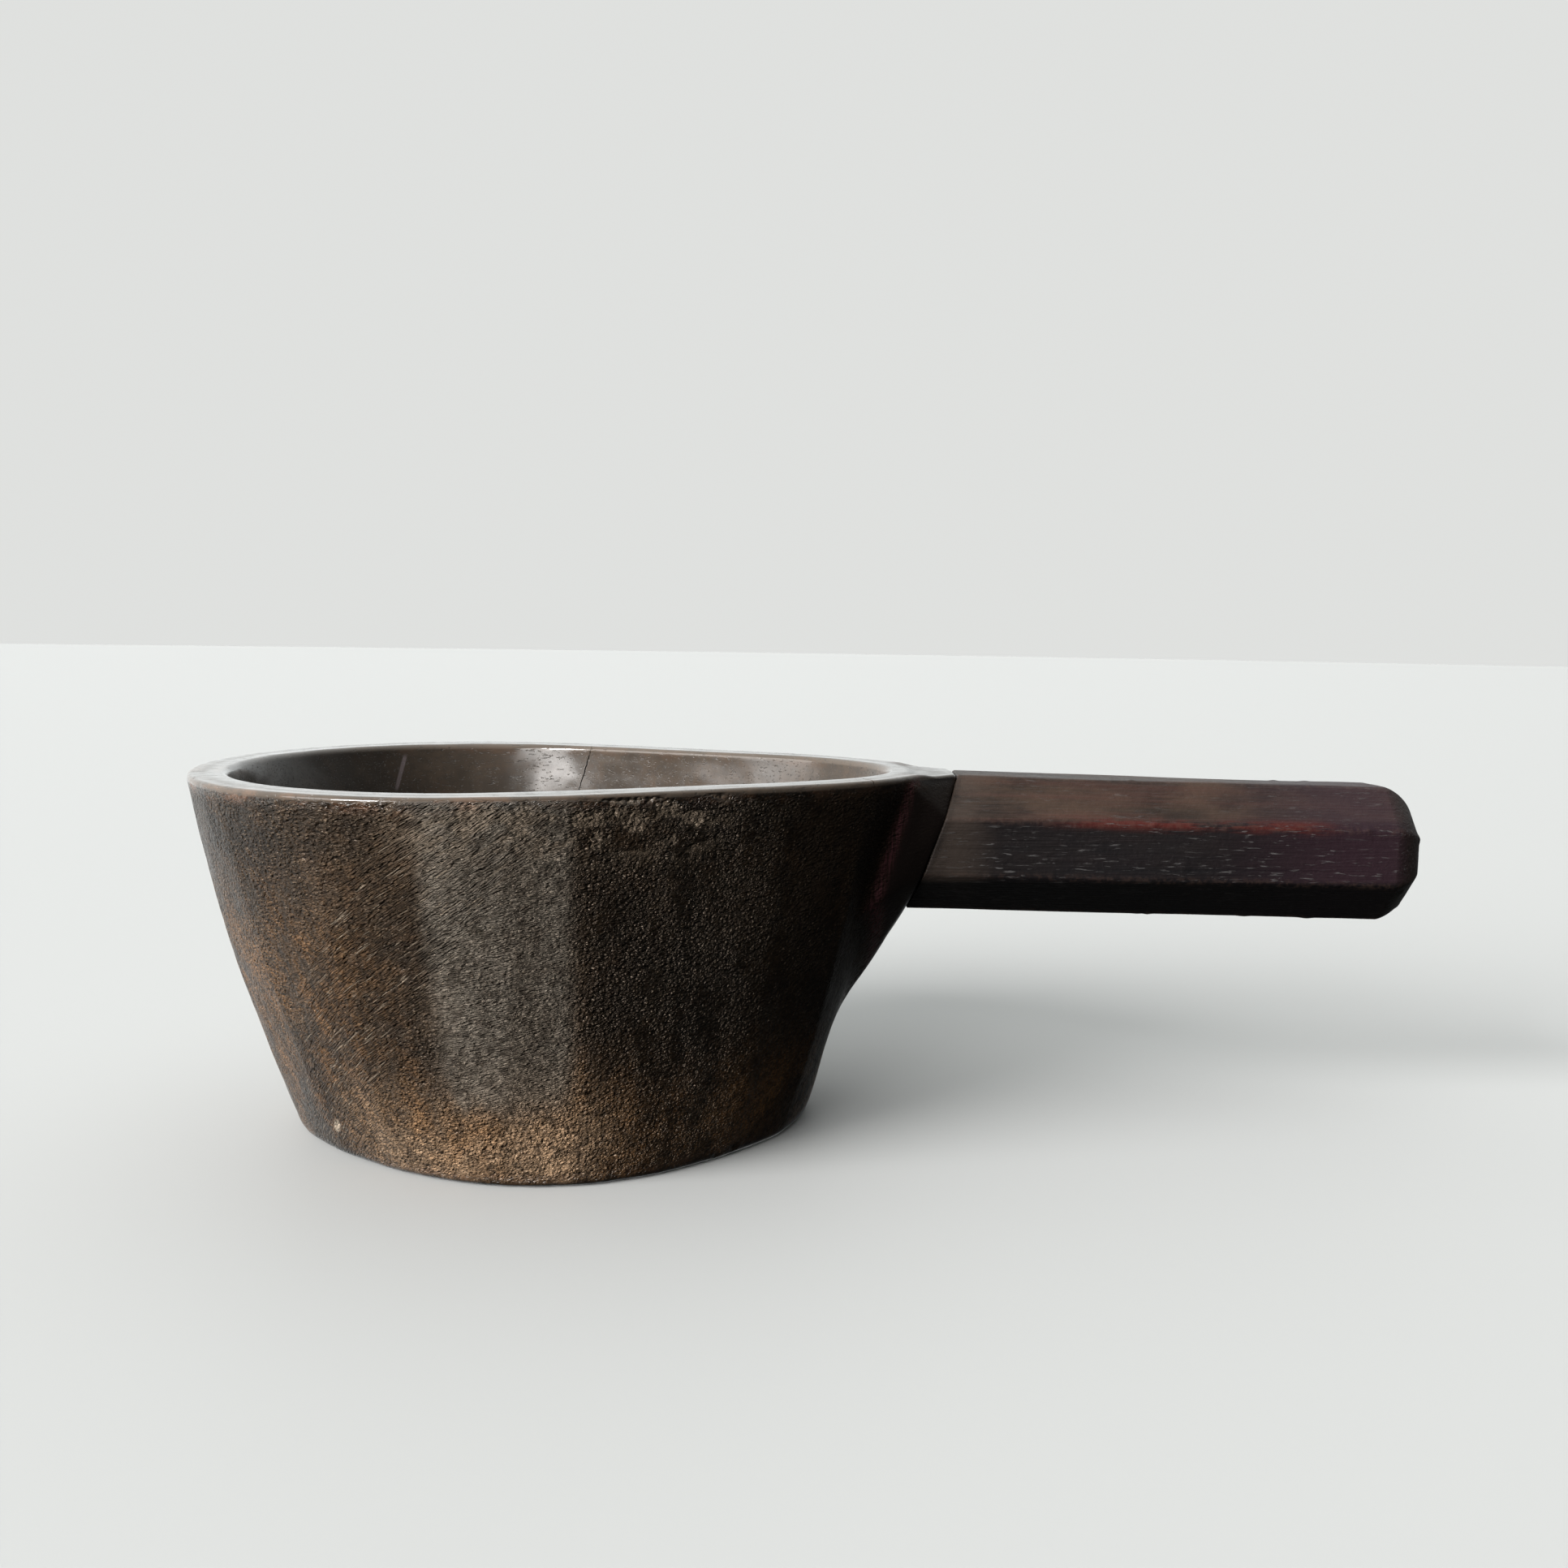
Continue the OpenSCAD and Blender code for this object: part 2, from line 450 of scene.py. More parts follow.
def bowl_rings(angle):
    """Radius and height of each ring of the bowl's skin, from under the base to the floor."""
    wrapped = (angle + math.pi) % (2 * math.pi) - math.pi
    rim = wall_radius(wrapped, BOWL_H)
    overhang = outer_radius(wrapped, BOWL_H - RIM_OUTER_EDGE) - rim
    top = BOWL_H - LUG_DROP * smoothstep(1, 5, overhang)
    return [
        *base_rings(wrapped),
        *wall_rings(wrapped, top),
        *rim_rings(wrapped, rim, top),
        *cavity_rings(wrapped),
    ]


def outer_side(points):
    """1 on the outside of the wall and the lug, 0 on the inside, the floor and the base."""
    radius = np.hypot(points[:, 0], points[:, 1])
    angle = np.arctan2(points[:, 1], points[:, 0])
    height = np.clip(points[:, 2], FLOOR_T, BOWL_H)
    middle = (wall_radius(angle, points[:, 2]) + cavity_radius(angle, height)) / 2
    return smoothstep(-2, 2, radius - middle)


def hand_work(points, outside):
    """Gentle unevenness that carving and wear leave on the bowl, in millimetres."""
    below_rim = 0.25 + 0.75 * smoothstep(0, 8, BOWL_H - points[:, 2])
    broad = 0.3 * soft_noise(points, (26, 26, 80), 11)
    cuts = 0.16 * soft_noise(points, (8, 8, 14), 12) + 0.05 * soft_noise(points, 3.2, 13)
    gouged = 0.2 * soft_noise(points, (16, 16, 11), 14)
    total = broad * (0.35 + 0.65 * outside) + cuts + gouged * (1 - outside)
    return total * below_rim


def dents(points, outside):
    """Knocks around the outside and along the rim's outer edge."""
    rng = np.random.default_rng(21)
    total = np.zeros(len(points))
    for count, middle, spread, low, high, size, depth in DENT_GROUPS:
        for _ in range(count):
            angle, z = middle + rng.uniform(-spread, spread), rng.uniform(low, high)
            reach, deep = rng.uniform(*size), rng.uniform(*depth)
            radius = outer_radius(np.array(angle), z)
            centre = [radius * math.cos(angle), radius * math.sin(angle), z]
            far = np.linalg.norm((points - centre) * [1, 1, 1.4], axis=1)
            total -= deep * (1 - smoothstep(0, reach, far))
    return total * outside


def crack_tool(path, depth, width):
    """A jagged thin blade along a path of points, to cut an open crack."""
    path = np.asarray(path, float)
    steps = np.linspace(0, len(path) - 1, 40)
    line = np.stack([np.interp(steps, range(len(path)), path[:, k]) for k in range(3)], 1)
    line += np.random.default_rng(5).normal(0, 0.12, line.shape)
    taper = np.sin(np.linspace(0.12, math.pi - 0.12, len(line)))[:, None]
    run = np.gradient(line, axis=0)
    down = np.asarray(depth, float)
    side = np.cross(run, down)
    side *= width / 2 / np.linalg.norm(side, axis=1)[:, None]
    upper = line - down * 0.4
    lower = line + down * taper
    rings = [np.array([u - s * t, u + s * t, l + s * 0.3, l - s * 0.3])
             for u, l, s, t in zip(upper, lower, side, taper)]
    points = np.concatenate(rings)
    faces = [(0, 1, 2, 3), tuple(len(points) - 1 - k for k in range(4))]
    for row in range(len(rings) - 1):
        for k in range(4):
            a, b = row * 4 + k, row * 4 + (k + 1) % 4
            faces.append((a, a + 4, b + 4, b))
    tool = make_object("crack", points, faces)
    bm = bmesh.new()
    bm.from_mesh(tool.data)
    bmesh.ops.recalc_face_normals(bm, faces=bm.faces)
    bm.to_mesh(tool.data)
    bm.free()
    return tool


def tenon_block(name, clearance, reach_in, reach_out):
    """A plain block on the tenon's axis."""
    half_w, half_h = TENON_W / 2 + clearance, TENON_H / 2 + clearance

    def shape(u, v, w):
        x = -reach_in + (reach_in + reach_out) * u
        return along_handle(np.stack([x, (2 * v - 1) * half_w, (2 * w - 1) * half_h], 1))

    return grid_box(name, shape, 1)


def peg_rod(name, radius, low, high, sides=48):
    turns = np.linspace(0, 2 * math.pi, sides, endpoint=False)
    rings = [
        np.stack([PEG_X + radius * np.cos(turns), radius * np.sin(turns), 0 * turns + z], 1)
        for z in np.linspace(low, high, 30)
    ]
    points, faces = skin_of_rings(rings, (PEG_X, 0, low), (PEG_X, 0, high))
    return make_object(name, points, faces)


def bowl_marks(piece):
    """Where the bowl's surface is worn, carved or inside, for its material."""
    points = read_points(piece)
    radius = np.hypot(points[:, 0], points[:, 1])
    angle = np.arctan2(points[:, 1], points[:, 0])
    z = points[:, 2]
    outside = outer_side(points)
    outer = outer_radius(angle, np.clip(z, 0, BOWL_H - RIM_OUTER_EDGE))
    rim_gap = np.hypot(radius - outer + 1, z - BOWL_H + 0.8)
    mouth_gap = np.hypot(radius - cavity_radius(angle, BOWL_H) - 1, z - BOWL_H + 0.8)
    base_gap = np.hypot(radius - wall_radius(angle, 0.0) + 1, z - 1)
    near_edge = np.minimum(np.minimum(rim_gap, mouth_gap), base_gap)
    store(piece, "edge", 1 - smoothstep(1.0, 4.5, near_edge))
    wall, lug = wall_radius(angle, z), lug_radius(angle, z)
    zone = lug_zone(angle) * outside
    store(piece, "lug", zone * smoothstep(0.5, 2.5, lug - wall))
    store(piece, "fillet", zone * np.exp(-(((lug - wall - 0.3) / 1.2) ** 2)))
    store(piece, "inside", 1 - outside)


def build_bowl():
    angle = column_angles()
    rings = [
        np.stack([r * np.cos(angle), r * np.sin(angle), z], axis=1)
        for r, z in bowl_rings(angle)
    ]
    points, faces = skin_of_rings(rings, (0, 0, BASE_HOLLOW), (0, 0, FLOOR_T))
    bowl = make_object("bowl_carved", points, faces)
    outside = outer_side(points)
    amount = hand_work(points, outside) + dents(points, outside)
    under = (points[:, 2] < 1.5) & (np.hypot(points[:, 0], points[:, 1]) < 70)
    push(bowl, np.where(under, amount * 0.2, amount))
    move_to(bowl, np.maximum(read_points(bowl), [-np.inf, -np.inf, 0]))
    cut(bowl, tenon_block("mortise", SEAM, reach_in=60, reach_out=10))
    cut(bowl, peg_rod("peg_bore", PEG_D / 2 + SEAM, PEG_BORE_FOOT_Z, PEG_TOP_Z))
    for path, depth, width in CRACKS:
        cut(bowl, crack_tool(path, depth, width))
    bowl_marks(bowl)
    smooth_shading(bowl)
    return bowl


# ---- handle


def handle_radius(turn, rounding=0.3):
    """Radius of the handle's eight-sided section with worn corners."""
    flat, grazing = HANDLE_AF / 2, 0.05
    total = 0
    for k in range(8):
        facing = np.cos(turn - k * math.pi / 4)
        reach = flat / np.maximum(facing, grazing)
        total = total + np.where(facing > grazing, np.exp(-(reach - flat) / rounding), 0)
    return flat - rounding * np.log(total)


def handle_bar():
    """The handle from its leaning shoulder to its bevelled end, without the tenon."""
    corner = math.pi / 4
    fine = (np.linspace(-0.5, 0.5, 20, endpoint=False) ** 3 * 4) * corner
    turn = np.sort(np.concatenate([k * corner + corner / 2 + fine for k in range(8)]))
    section = handle_radius(turn)
    rings = []

    def ring(shrink, forward):
        y = (section - shrink) * np.cos(turn)
        z = (section - shrink) * np.sin(turn)
        return np.stack([forward(y, z), y, z], axis=1)

    for shrink in (18, 14, 10, 6, 3, 1.2, 0.5):
        rings.append(ring(shrink, shoulder_distance))
    for turned in (0.35, 0.75, 1.2, math.pi / 2):
        rise = SHOULDER_EDGE * (1 - math.cos(turned))
        rings.append(ring(SHOULDER_EDGE * (1 - math.sin(turned)),
                          lambda y, z: shoulder_distance(y, z) + rise))
    reach = HANDLE_L - END_BEVEL * 1.12
    for s in np.linspace(0, 1, 170)[1:]:
        rings.append(ring(0, lambda y, z: (
            (shoulder_distance(y, z) + SHOULDER_EDGE) * (1 - s) + reach * s)))
    for s in np.linspace(0, 1, 30):
        along = HANDLE_L - END_BEVEL * 1.1 * (1 - s)
        fall = END_BEVEL * (0.45 * s**1.3 + 0.55 * (1 - math.sqrt(1 - s * s)))
        rings.append(ring(section * fall / HANDLE_AF * 2, lambda y, z: along + 0 * y))
    last = rings[-1]
    centre = np.array([HANDLE_L + END_CROWN, 0, 0])
    for s in np.linspace(0, 1, 10)[1:-1]:
        inner = last * (1 - s) + centre * s
        inner[:, 0] = HANDLE_L + END_CROWN * math.sin(s * math.pi / 2)
        rings.append(inner)
    points, faces = skin_of_rings(rings, np.zeros(3), centre)
    return make_object("handle_carved", along_handle(points), [f[::-1] for f in faces])


def handle_work(points):
    """Slightly wavy facets, with a few knocks near the free end."""
    wave = 0.28 * soft_noise(points, (46, 16, 16), 31) + 0.08 * soft_noise(points, (14, 7, 7), 32)
    rng = np.random.default_rng(33)
    knocks = np.zeros(len(points))
    for _ in range(40):
        pick = points[rng.integers(len(points))]
        reach = rng.uniform(1, 3.2)
        far = np.linalg.norm(points - pick, axis=1)
        knocks -= rng.uniform(0.08, 0.35) * (1 - smoothstep(0, reach, far))
    return wave + knocks


def inner_wall_x(y, z):
    """Where the bowl's inside lies in front of the tenon, along X, by repeated steps."""
    first_guess, steps = 85.0, 8
    x = np.full(len(y), first_guess)
    for _ in range(steps):
        angle = np.arctan2(y, x)
        x = np.sqrt(np.maximum(cavity_radius(angle, z) ** 2 - y**2, 1))
    return x


def tenon_shape(u, v, w):
    """The tenon from inside the handle to flush with the inside of the bowl."""
    y = (2 * v - 1) * TENON_W / 2
    z = (2 * w - 1) * TENON_H / 2
    level = AXIS_Z + z + TENON_THROUGH * math.sin(DROOP)
    near = inner_wall_x(y, level) - SHOULDER_X + 0.1
    x = near * (1 - u) + TENON_ROOT * u
    return along_handle(np.stack([x, y, z], axis=1))


def wedge_shape(grow):
    """The wedge's tapered body. grow makes the kerf a little larger than the wedge."""

    def shape(u, v, w):
        thick = (WEDGE_T * (1 - u) + WEDGE_TIP_T * u) / 2 + grow
        y = (2 * v - 1) * (TENON_W / 2 + grow * 4 - 0.03)
        z = (2 * w - 1) * thick
        near = inner_wall_x(y, AXIS_Z + z + 0.4) - SHOULDER_X - 0.25 - grow * 40
        x = near * (1 - u) + (near.max() + WEDGE_L) * u
        return along_handle(np.stack([x, y, z], axis=1))

    return shape


def handle_marks(piece):
    """Where the handle is worn or rounded, or close to its shoulder, for its material."""
    points = read_points(piece)
    local = (points - [SHOULDER_X, 0, AXIS_Z]) @ np.array(Matrix.Rotation(DROOP, 3, "Y"))
    turn = np.arctan2(local[:, 2], local[:, 1])
    to_corner = np.abs((turn / (math.pi / 4)) % 1 - 0.5)
    corner = 1 - smoothstep(0.02, 0.12, to_corner)
    end = smoothstep(HANDLE_L - END_BEVEL * 1.5, HANDLE_L - 1, local[:, 0])
    shoulder = local[:, 0] - shoulder_distance(local[:, 1], local[:, 2])
    store(piece, "edge", np.maximum(corner, end * 0.7) * (shoulder > -0.5))
    store(piece, "seam", 1 - smoothstep(0.3, 3.0, np.abs(shoulder)))
    store(piece, "end", end)
    reach = np.hypot(local[:, 1] + HANDLE_AF / 2, local[:, 2] - HANDLE_AF * 0.22)
    along = smoothstep(25, 50, local[:, 0]) * (1 - smoothstep(112, 128, local[:, 0]))
    store(piece, "front_edge", (1 - smoothstep(0.5, 3.6, reach)) * along)


def build_handle():
    handle = handle_bar()
    push(handle, handle_work(read_points(handle)))
    cut(handle, grid_box("tenon", tenon_shape, 9), "UNION")
    cut(handle, grid_box("kerf", wedge_shape(SEAM / 2), 5))
    cut(handle, peg_rod("bore", PEG_D / 2 + SEAM, PEG_BORE_FOOT_Z, PEG_TOP_Z))
    handle_marks(handle)
    smooth_shading(handle)
    return handle


def build_wedge():
    wedge = grid_box("wedge_driven", wedge_shape(0), 11)
    push(wedge, 0.03 * soft_noise(read_points(wedge), 2.5, 41))
    smooth_shading(wedge)
    return wedge


def lug_underside_z(x):
    """Height of the lug's underside on its centre line."""
    heights = np.linspace(LUG_FOOT_Z + 1, 80, 300)
    reach = outer_radius(np.zeros_like(heights), heights)
    return heights[np.argmax(reach > x)]


def build_peg():
    low = lug_underside_z(PEG_X)
    peg = peg_rod("peg_driven", PEG_D / 2, low - 0.6, PEG_TOP_Z - 0.3, 40)
    points = read_points(peg)
    slope = (lug_underside_z(PEG_X + 2) - lug_underside_z(PEG_X - 2)) / 4
    lift = slope * (points[:, 0] - PEG_X) * (1 - smoothstep(low, low + 12, points[:, 2]))
    points[:, 2] += lift
    move_to(peg, points)
    push(peg, 0.05 * soft_noise(points, (1.5, 1.5, 12), 51))
    smooth_shading(peg)
    return peg


# ---- materials

# Colours of the woods, as linear red, green and blue.
BOWL_DARK = (0.022, 0.014, 0.009)
BOWL_BROWN = (0.066, 0.041, 0.024)
BOWL_STREAK = (0.092, 0.05, 0.025)
BOWL_RUST = (0.24, 0.116, 0.042)
# Painted light: the pale front of the foot.
BOWL_FOOT_PAINTED_LIGHT = (0.4, 0.255, 0.15)
# Painted sheen: the pale grey of the rubbed panel.
BOWL_RUBBED_SHEEN = (0.2, 0.172, 0.139)
BOWL_BAND = (0.036, 0.027, 0.019)
BOWL_MOTTLE = (0.014, 0.009, 0.006)
# Pale dust and painted glints on the pebbles' crests.
BOWL_CREST_DUST_AND_GLINT = (0.26, 0.185, 0.12)
# Painted sheen over the scuffs near the rim.
BOWL_SCUFF_SHEEN = (0.25, 0.19, 0.135)
BOWL_SCORE = (0.21, 0.165, 0.12)
BOWL_INSIDE = (0.05, 0.041, 0.033)
BOWL_WORN = (0.2, 0.095, 0.05)
# Painted sheen: the rim's pale top.
BOWL_RIM_PAINTED_SHEEN = (0.12, 0.096, 0.076)
BOWL_SCRATCH = (0.26, 0.21, 0.22)
BOWL_CHIP = (0.42, 0.33, 0.24)
# Painted shade: the lug's near black.
LUG_PAINTED_SHADE = (0.007, 0.005, 0.005)
LUG_RED = (0.066, 0.023, 0.027)
HANDLE_DARK = (0.012, 0.008, 0.006)
HANDLE_BROWN = (0.04, 0.024, 0.016)
HANDLE_GRAIN = (0.05, 0.021, 0.016)
HANDLE_FINE_GRAIN = (0.06, 0.035, 0.025)
# Painted shade: the handle below its top facets.
HANDLE_PAINTED_SHADE = (0.006, 0.006, 0.007)
HANDLE_SHOULDER = (0.058, 0.043, 0.034)
HANDLE_PLUM = (0.022, 0.011, 0.015)
HANDLE_STREAK = (0.05, 0.011, 0.009)
# Painted shade: the handle's underside.
HANDLE_UNDERSIDE_PAINTED_SHADE = (0.003, 0.003, 0.003)
HANDLE_WORN = (0.075, 0.045, 0.034)
HANDLE_END = (0.026, 0.022, 0.016)
HANDLE_DASH = (0.115, 0.11, 0.108)
WEDGE_PALE = (0.2, 0.115, 0.055)
WEDGE_DARK = (0.1, 0.055, 0.028)
PEG_PALE = (0.15, 0.085, 0.042)
PEG_DARK = (0.07, 0.038, 0.02)


def smooth_range(nodes, low, high, start, end):
    """A node that gives start below low, end above high, and a smooth change between."""
    node = nodes.new("ShaderNodeMapRange")
    node.interpolation_type = "SMOOTHSTEP"
    names = ("From Min", "From Max", "To Min", "To Max")
    for name, number in zip(names, (low, high, start, end)):
        node.inputs[name].default_value = number
    return node


class Wood:
    """Builds one wood's node tree. Sizes are in millimetres of the object's own frame."""

    def __init__(self, name):
        self.material = bpy.data.materials.new(name)
        self.material.use_nodes = True
        self.nodes = self.material.node_tree.nodes
        self.links = self.material.node_tree.links
        self.surface = self.nodes["Principled BSDF"]
        self.place = self.add("TexCoord").outputs["Object"]

    def plug(self, socket, value):
        if isinstance(value, bpy.types.NodeSocket):
            self.links.new(value, socket)
        else:
            socket.default_value = value

    def add(self, kind, **inputs):
        """A new node, with some of its inputs set."""
        node = self.nodes.new("ShaderNode" + kind)
        for name, value in inputs.items():
            node.inputs[name].default_value = value
        return node

    def math(self, operation, a, b=0.0):
        node = self.add("Math")
        node.operation = operation
        self.plug(node.inputs[0], a)
        self.plug(node.inputs[1], b)
        return node.outputs[0]

    def scaled(self, size, turn=(0, 0, 0), source=None):
        """Coordinates that change by 1 over each of the sizes, along turned axes."""
        rotation, scale = [math.radians(a) for a in turn], [s * MM for s in size]
        node = self.add("Mapping", Rotation=rotation, Scale=scale)
        node.vector_type = "TEXTURE"
        self.links.new(source or self.place, node.inputs["Vector"])
        return node.outputs[0]

    def noise(self, size, detail=3.0, roughness=0.55, distortion=0.0, turn=(0, 0, 0), source=None):
        node = self.add("TexNoise", Scale=1.0, Detail=detail, Roughness=roughness,
                        Distortion=distortion)
        self.links.new(self.scaled(size, turn, source), node.inputs["Vector"])
        return node.outputs["Fac"]

    def cells(self, size, turn=(0, 0, 0), source=None):
        """Distance from the middle of the nearest cell, and one random number per cell."""
        node = self.add("TexVoronoi", Scale=1.0)
        self.links.new(self.scaled(size, turn, source), node.inputs["Vector"])
        return node.outputs["Distance"], node.outputs["Color"]

    def ramp(self, value, low, high, start=0.0, end=1.0):
        node = smooth_range(self.nodes, low, high, start, end)
        self.plug(node.inputs["Value"], value)
        return node.outputs["Result"]

    def part(self, mask, most):
        """A mask weakened so that it reaches only most."""
        return self.ramp(mask, 0, 1, 0, most)

    def spare(self, mask, least):
        """1 away from a mask, and least where the mask is whole."""
        return self.ramp(mask, 0, 1, 1, least)

    def give(self, name, value):
        self.plug(self.surface.inputs[name], value)

    def mark(self, name):
        node = self.add("Attribute")
        node.attribute_name = name
        return node.outputs["Fac"]

    def mix(self, factor, a, b, blend="MIX"):
        """Colour a, blended with colour b as far as the factor says."""
        node = self.add("Mix")
        node.data_type = "RGBA"
        node.blend_type = blend
        self.plug(node.inputs[0], factor)
        for socket, colour in ((node.inputs[6], a), (node.inputs[7], b)):
            self.plug(socket, (*colour, 1) if isinstance(colour, tuple) else colour)
        return node.outputs[2]

    def darken(self, colour, factor, amount):
        """Multiplies a colour down where a factor is 1."""
        return self.mix(factor, colour, (amount, amount, amount), "MULTIPLY")

    def total(self, *terms):
        """The sum of (value, weight) pairs."""
        result = 0.0
        for value, weight in terms:
            result = self.math("ADD", self.math("MULTIPLY", value, weight), result)
        return result

    def relief(self, height):
        """Bumps the surface by a height in millimetres."""
        node = self.add("Bump", Strength=1.0, Distance=MM)
        self.links.new(height, node.inputs["Height"])
        self.links.new(node.outputs["Normal"], self.surface.inputs["Normal"])

    def ridges(self, size, detail, distortion=0.0, turn=(0, 0, 0), source=None):
        """Sharp crests, 1 along their tops, that wander like wrinkles."""
        wave = self.noise(size, detail, 0.5, distortion, turn, source)
        return self.ramp(self.math("ABSOLUTE", self.math("SUBTRACT", wave, 0.5)), 0, 0.12, 1, 0)

    def xyz(self):
        split = self.add("SeparateXYZ")
        self.links.new(self.place, split.inputs[0])
        return split.outputs

    def round_the_bowl(self):
        """Degrees round the wall from its far end, the wall unrolled flat, and the height."""
        x, y, z = self.xyz()
        turn = self.math("ARCTAN2", y, self.math("MULTIPLY", x, -1.0))
        join = self.add("CombineXYZ")
        self.links.new(self.math("MULTIPLY", turn, MEAN_WALL_RADIUS * MM), join.inputs[0])
        self.links.new(z, join.inputs[2])
        return self.math("DEGREES", turn), join.outputs[0], z

    def away_from(self, value, middle):
        return self.math("ABSOLUTE", self.math("SUBTRACT", value, middle))

    def both(self, *masks):
        """The product of masks."""
        result = masks[0]
        for mask in masks[1:]:
            result = self.math("MULTIPLY", result, mask)
        return result

    def near_line(self, start, end, width):
        """1 along a short straight line between two points, 0 beyond a width from it."""
        start, end = Vector(start) * MM, Vector(end) * MM
        away = self.add("VectorMath")
        away.operation = "SUBTRACT"
        self.links.new(self.place, away.inputs[0])
        away.inputs[1].default_value = (start + end) / 2
        across = self.add("VectorMath")
        across.operation = "CROSS_PRODUCT"
        self.links.new(away.outputs[0], across.inputs[0])
        across.inputs[1].default_value = (end - start).normalized()
        gaps = []
        for vector in (across, away):
            length = self.add("VectorMath")
            length.operation = "LENGTH"
            self.links.new(vector.outputs[0], length.inputs[0])
            gaps.append(length.outputs["Value"])
        half = (end - start).length / 2
        return self.both(self.ramp(gaps[0], width * 0.3 * MM, width * MM, 1, 0),
                         self.ramp(gaps[1], half * 0.6, half, 1, 0))


def bowl_zones(wood, around, height, wall):
    """Masks of the parts of the wall that are scored, scuffed, rubbed, smooth or warm; the scuffed
    and the rubbed parts also carry a painted sheen.
    """
    slant = wood.math("ADD", around, wood.math("MULTIPLY", height, 0.42))
    front = wood.ramp(wood.away_from(slant, -38), 7, 14, 1, 0)
    behind = wood.both(wood.ramp(wood.noise((46, 46, 50), 1), 0.58, 0.68),
                       wood.ramp(around, 10, 40))
    scored = wood.math("MAXIMUM", front, behind)
    # Scuffs near the rim: flaked relief, also painted paler as a painted sheen.
    scuffed = wood.both(wood.ramp(wood.away_from(around, -96), 18, 34, 1, 0),
                        wood.ramp(height, 84, 100),
                        wood.ramp(wood.noise((8, 8, 5), 3), 0.42, 0.58))
    # The rubbed panel: smoother and worn, and painted grey as a painted sheen.
    rubbed = wood.both(wood.ramp(wood.away_from(around, -84), 8, 14, 1, 0),
                       wood.ramp(height, 14, 32))
    smooth = wood.ramp(wood.math("ABSOLUTE", around), 116, 142)
    left = wood.both(wood.ramp(around, -74, -42), wood.ramp(height, 98, 50))
    warm = wood.math("MAXIMUM", left, wood.ramp(height, 44, 16))
    zones = dict(scored=scored, scuffed=scuffed, rubbed=rubbed, smooth=smooth, warm=warm)
    return {name: wood.both(mask, wall) for name, mask in zones.items()}


def bowl_places(wood):
    """Where a point is on the bowl, as measures and as masks of the bowl's parts and zones."""
    around, unrolled, z = wood.round_the_bowl()
    height = wood.math("DIVIDE", z, MM)
    inside = wood.mark("inside")
    outside = wood.ramp(inside, 0.2, 0.6, 1, 0)
    wall = wood.both(outside, wood.ramp(height, BOWL_H - 1.8, BOWL_H - 0.8, 1, 0),
                     wood.ramp(height, 0.6, 2))
    return SimpleNamespace(
        around=around, unrolled=unrolled, z=z, height=height,
        inside=inside, outside=outside, wall=wall,
        front=wood.both(wall, wood.ramp(around, -177, -162)),
        edge=wood.mark("edge"), lug=wood.mark("lug"), fillet=wood.mark("fillet"),
        rim=wood.ramp(height, BOWL_H - 2.2, BOWL_H - 1.2),
        **bowl_zones(wood, around, height, wall))


def bowl_patterns(wood, on):
    """The noises that the bowl's colour, gloss and relief share."""
    pebbles, pebble_tone = wood.cells((1.15, 1.15, 0.85), (0, 12, 0), on.unrolled)
    slanting = wood.noise((10, 1, 0.6), 1, 0.5, 0.15, (0, 36, 0), on.unrolled)
    return SimpleNamespace(
        patches=wood.noise((24, 24, 30), 4, 0.62),
        blotches=wood.noise((9, 9, 15), 4, 0.65),
        streaks=wood.noise((80, 8, 8), 5, 0.6, 0.6),
        bands=wood.noise((13, 13, 130), 2),
        mottle=wood.noise((2.6, 2.6, 2.2), 4, 0.7),
        pores=wood.ramp(wood.noise((5, 0.6, 0.6), 2, 0.6), 0.60, 0.70),
        scores=wood.both(wood.ramp(slanting, 0.62, 0.68), on.scored),
        pebbles=pebbles,
        crest=wood.both(wood.ramp(pebbles, 0.10, 0.42, 1, 0), wood.ramp(pebble_tone, 0.62, 0.95)),
        plain=wood.both(on.wall, wood.spare(on.smooth, 0.45), wood.spare(on.rubbed, 0.5),
                        wood.spare(on.lug, 0.15)))


def bowl_tones(wood, on, look):
    """The bowl's browns: rusty low down, pale where light is painted on the front of the foot, and
    grey where it is rubbed, as a painted sheen.
    """
    bottom = wood.both(wood.ramp(on.height, 40, 8), on.wall)
    # Painted light: the front of the foot is painted pale.
    foot_painted_light = wood.both(bottom, wood.ramp(wood.away_from(on.around, -76), 22, 34, 1, 0),
                         wood.ramp(look.patches, 0.36, 0.6, 0.35, 1.0))
    rusty = wood.both(on.warm, wood.ramp(look.blotches, 0.40, 0.58, 0.15, 1.0))
    colour = wood.mix(wood.ramp(look.patches, 0.38, 0.62), BOWL_DARK, BOWL_BROWN)
    colour = wood.mix(wood.ramp(look.streaks, 0.46, 0.7, 0, 0.5), colour, BOWL_STREAK)
    colour = wood.mix(rusty, colour, BOWL_RUST)
    colour = wood.mix(foot_painted_light, colour, BOWL_FOOT_PAINTED_LIGHT)
    # Painted sheen: the rubbed panel is painted pale grey.
    colour = wood.mix(wood.part(on.rubbed, 0.75), colour, BOWL_RUBBED_SHEEN)
    colour = wood.mix(wood.ramp(look.bands, 0.4, 0.62, 0, 0.45), colour, BOWL_BAND)
    return wood.mix(wood.ramp(look.mottle, 0.44, 0.60, 0, 0.6), colour, BOWL_MOTTLE)


